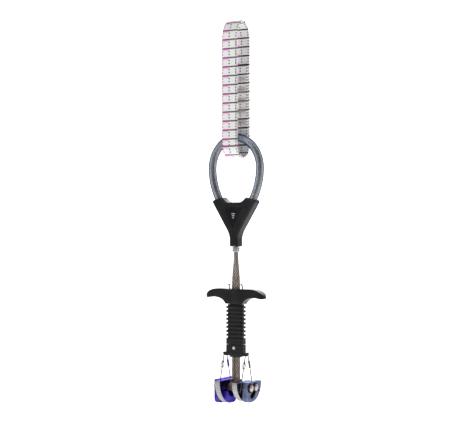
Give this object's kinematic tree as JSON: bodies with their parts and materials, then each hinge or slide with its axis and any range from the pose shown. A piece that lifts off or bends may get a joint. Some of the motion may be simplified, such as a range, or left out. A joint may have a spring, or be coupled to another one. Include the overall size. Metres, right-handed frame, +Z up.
{
  "type": "spring-loaded camming device",
  "caption": "Climbing camming device: toothed lobes on a double axle, cable stem, sliding finger trigger, clear-coated cable thumb loop and a sewn webbing sling.",
  "frame": {"origin": "inside of the top of the sewn sling, where a carabiner sits", "axes": "+Z up, from the cam head to the sling; X along the axles, purple lobes at -X and grey lobes at +X; the lobes open towards +Y and -Y"},
  "size_m": [0.056, 0.0334, 0.3071],
  "materials": {
    "purple_anodised": "satin anodised",
    "grey_anodised": "satin anodised",
    "axle_steel": "turned, riveted over",
    "wire_steel": "stranded",
    "cable_steel": "stranded, bare",
    "spring_wire": "drawn wire",
    "ferrule_metal": "swaged",
    "black_moulding": "fine moulded grain",
    "label_plate": "smooth",
    "clear_tube": "clear tube",
    "purple_crimp": "anodised crimp",
    "grey_crimp": "anodised crimp",
    "sling_webbing": "woven strap"
  },
  "bodies": {
    "sling": {"sling_webbing": "sling_webbing", "sling_overlap": "sling_webbing"},
    "stem": {"main_cable": "cable_steel", "loop_sleeve": "clear_tube", "saddle": "black_moulding", "label_front": "label_plate", "label_rear": "label_plate", "ferrule": "ferrule_metal", "terminal": "axle_steel", "axle_front": "axle_steel", "axle_rear": "axle_steel", "axle_washer_front_left": "axle_steel", "axle_washer_front_right": "axle_steel", "axle_washer_rear_left": "axle_steel", "axle_washer_rear_right": "axle_steel", "spring_purple_outer": "spring_wire", "spring_purple_inner": "spring_wire", "spring_grey_inner": "spring_wire", "spring_grey_outer": "spring_wire"},
    "trigger": {"trigger_bar": "black_moulding", "trigger_sleeve": "black_moulding", "trigger_base": "black_moulding", "wire_hook_left": "wire_steel", "wire_hook_right": "wire_steel"},
    "lobe_purple_outer": {"lobe_purple_outer": "purple_anodised"},
    "lobe_purple_inner": {"lobe_purple_inner": "purple_anodised"},
    "lobe_grey_inner": {"lobe_grey_inner": "grey_anodised"},
    "lobe_grey_outer": {"lobe_grey_outer": "grey_anodised"},
    "wire_purple_outer": {"wire_purple_outer": "wire_steel", "crimp_purple_outer": "purple_crimp"},
    "wire_purple_inner": {"wire_purple_inner": "wire_steel"},
    "wire_grey_inner": {"wire_grey_inner": "wire_steel"},
    "wire_grey_outer": {"wire_grey_outer": "wire_steel", "crimp_grey_outer": "grey_crimp"}
  },
  "joints": [
    {"name": "sling_swing", "type": "hinge", "parent": "sling", "child": "stem", "pos_m": [0, 0, -0.0921], "axis": [1, 0, 0], "range_deg": [-120, 120]},
    {"name": "trigger_pull", "type": "slide", "parent": "stem", "child": "trigger", "axis": [0, 0, 1], "range_m": [0, 0.01478], "stiffness_N_per_m": 600, "springref_m": -0.015},
    {"name": "purple_outer_swing", "type": "hinge", "parent": "stem", "child": "lobe_purple_outer", "pos_m": [0, -0.0035, -0.2918], "axis": [1, 0, 0], "range_deg": [0, 70.1], "deforming": ["spring_purple_outer"]},
    {"name": "purple_inner_swing", "type": "hinge", "parent": "stem", "child": "lobe_purple_inner", "pos_m": [0, 0.0035, -0.2918], "axis": [-1, 0, 0], "range_deg": [0, 70.1], "deforming": ["spring_purple_inner"]},
    {"name": "grey_inner_swing", "type": "hinge", "parent": "stem", "child": "lobe_grey_inner", "pos_m": [0, 0.0035, -0.2918], "axis": [-1, 0, 0], "range_deg": [0, 70.1], "deforming": ["spring_grey_inner"]},
    {"name": "grey_outer_swing", "type": "hinge", "parent": "stem", "child": "lobe_grey_outer", "pos_m": [0, -0.0035, -0.2918], "axis": [1, 0, 0], "range_deg": [0, 70.1], "deforming": ["spring_grey_outer"]},
    {"name": "purple_outer_wire_swing", "type": "hinge", "parent": "trigger", "child": "wire_purple_outer", "pos_m": [-0.0102, 0.002, -0.2663], "axis": [-1, 0, 0], "range_deg": [0, 12.5]},
    {"name": "purple_inner_wire_swing", "type": "hinge", "parent": "trigger", "child": "wire_purple_inner", "pos_m": [-0.0102, -0.002, -0.2663], "axis": [1, 0, 0], "range_deg": [0, 12.5]},
    {"name": "grey_inner_wire_swing", "type": "hinge", "parent": "trigger", "child": "wire_grey_inner", "pos_m": [0.0102, -0.002, -0.2663], "axis": [1, 0, 0], "range_deg": [0, 12.5]},
    {"name": "grey_outer_wire_swing", "type": "hinge", "parent": "trigger", "child": "wire_grey_outer", "pos_m": [0.0102, 0.002, -0.2663], "axis": [-1, 0, 0], "range_deg": [0, 12.5]}
  ],
  "couplings": [
    {"joint": "purple_outer_swing", "follows": "trigger_pull", "rad_per_m": 82.661},
    {"joint": "purple_inner_swing", "follows": "trigger_pull", "rad_per_m": 82.661},
    {"joint": "grey_inner_swing", "follows": "trigger_pull", "rad_per_m": 82.661},
    {"joint": "grey_outer_swing", "follows": "trigger_pull", "rad_per_m": 82.661},
    {"joint": "purple_outer_wire_swing", "follows": "trigger_pull", "rad_per_m": 14.569},
    {"joint": "purple_inner_wire_swing", "follows": "trigger_pull", "rad_per_m": 14.569},
    {"joint": "grey_inner_wire_swing", "follows": "trigger_pull", "rad_per_m": 14.569},
    {"joint": "grey_outer_wire_swing", "follows": "trigger_pull", "rad_per_m": 14.569}
  ]
}
